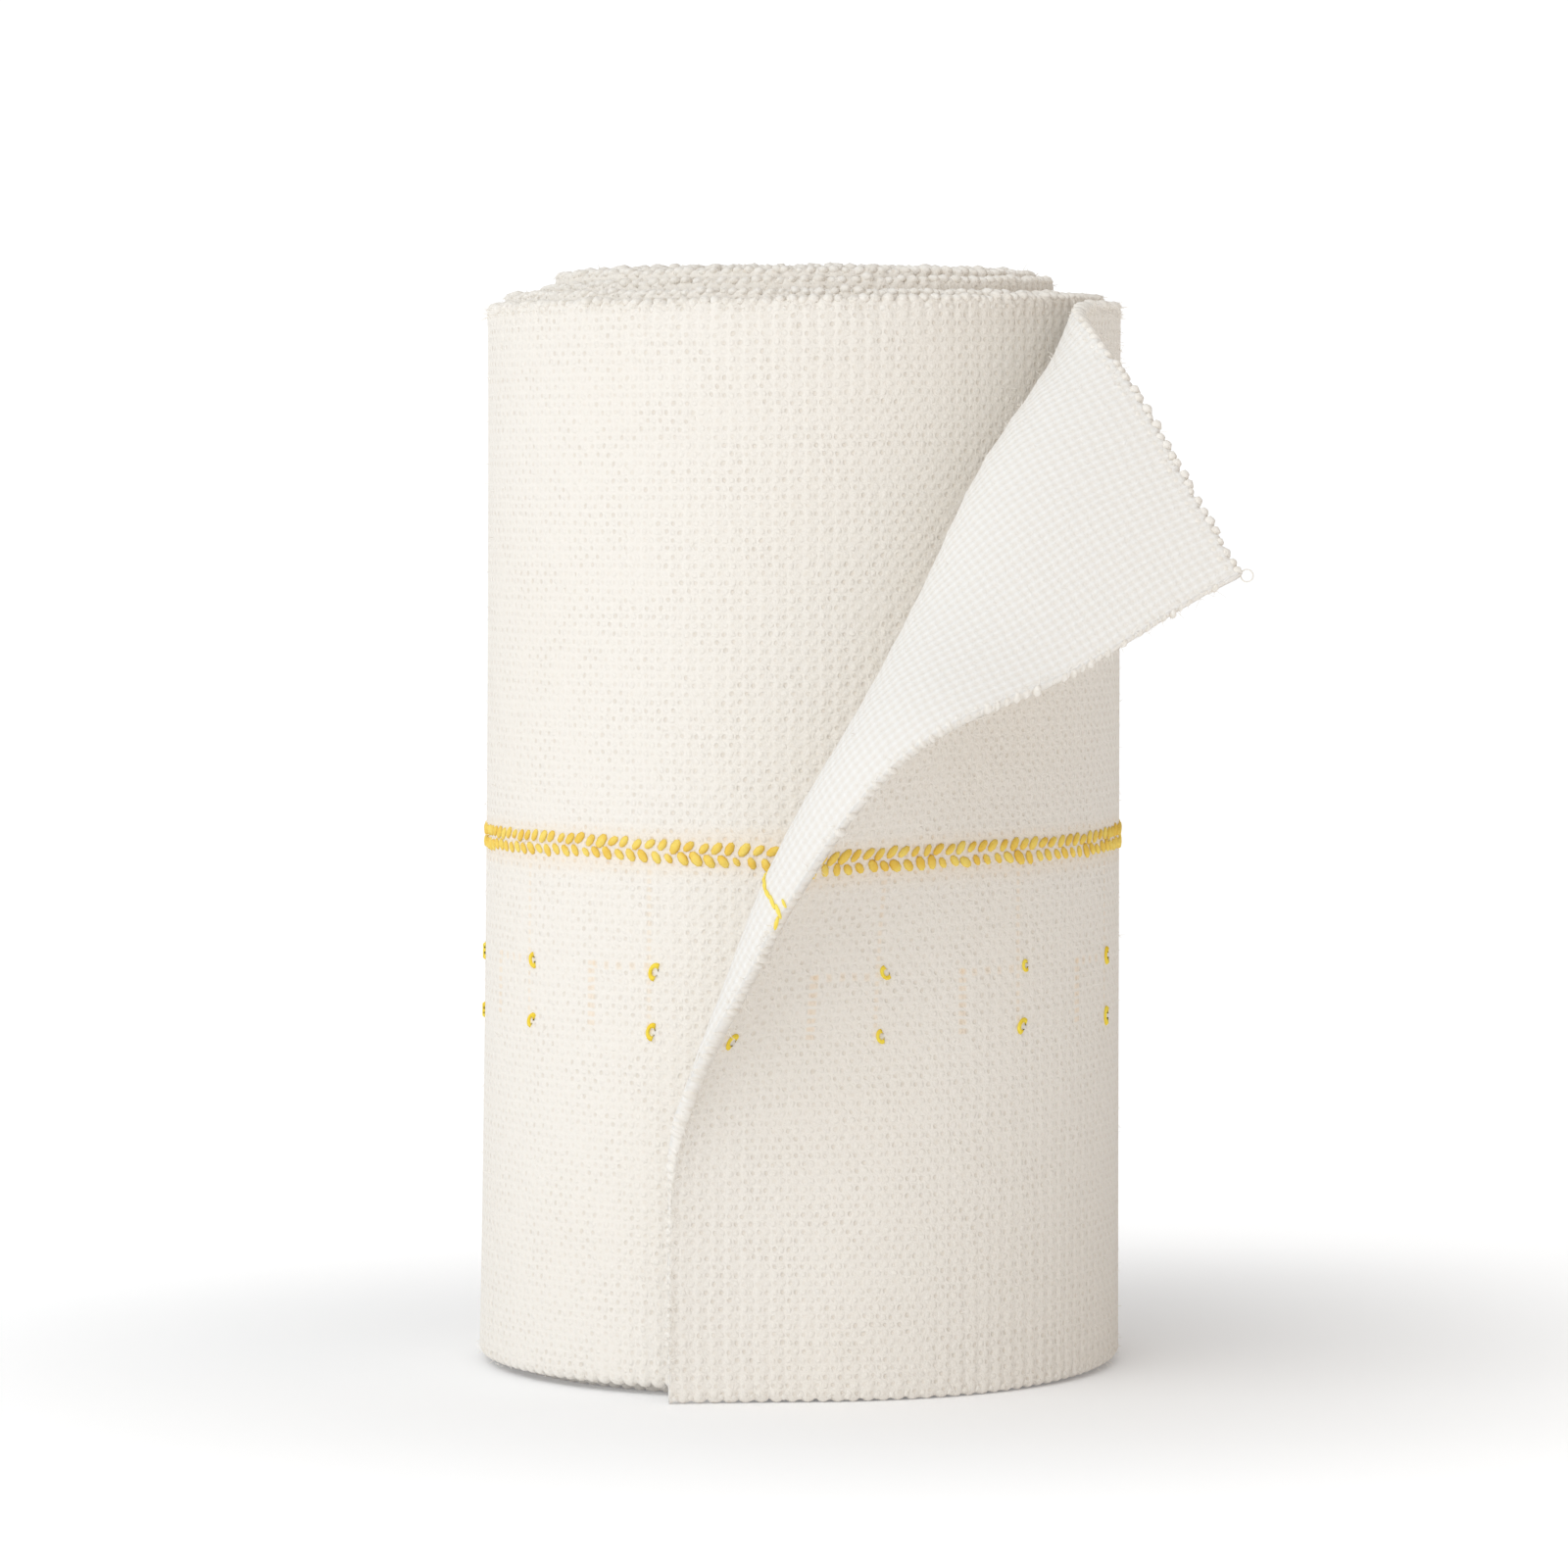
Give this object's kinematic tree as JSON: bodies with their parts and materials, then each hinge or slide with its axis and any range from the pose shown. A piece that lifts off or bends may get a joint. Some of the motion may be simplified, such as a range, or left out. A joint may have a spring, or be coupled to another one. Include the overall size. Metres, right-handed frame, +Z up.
{
  "type": "compression bandage roll",
  "caption": "Roll of cream knitted elastic compression bandage standing on end, free end's upper corner folded back, with a yellow centre line.",
  "frame": {"origin": "on the winding axis, on the flat lower end that the roll stands on", "axes": "+Z up along the winding axis, -Y towards the front where the free end is folded back, +X to the right as seen from the front"},
  "size_m": [0.0692, 0.0804, 0.103],
  "materials": {
    "knitted_strip": "matt knitted elastic cotton cloth, cream white",
    "centre_line": "matt golden yellow yarn"
  },
  "bodies": {
    "root": {"free_end": "knitted_strip", "wound_roll": "knitted_strip", "centre_line": "centre_line"}
  },
  "joints": []
}
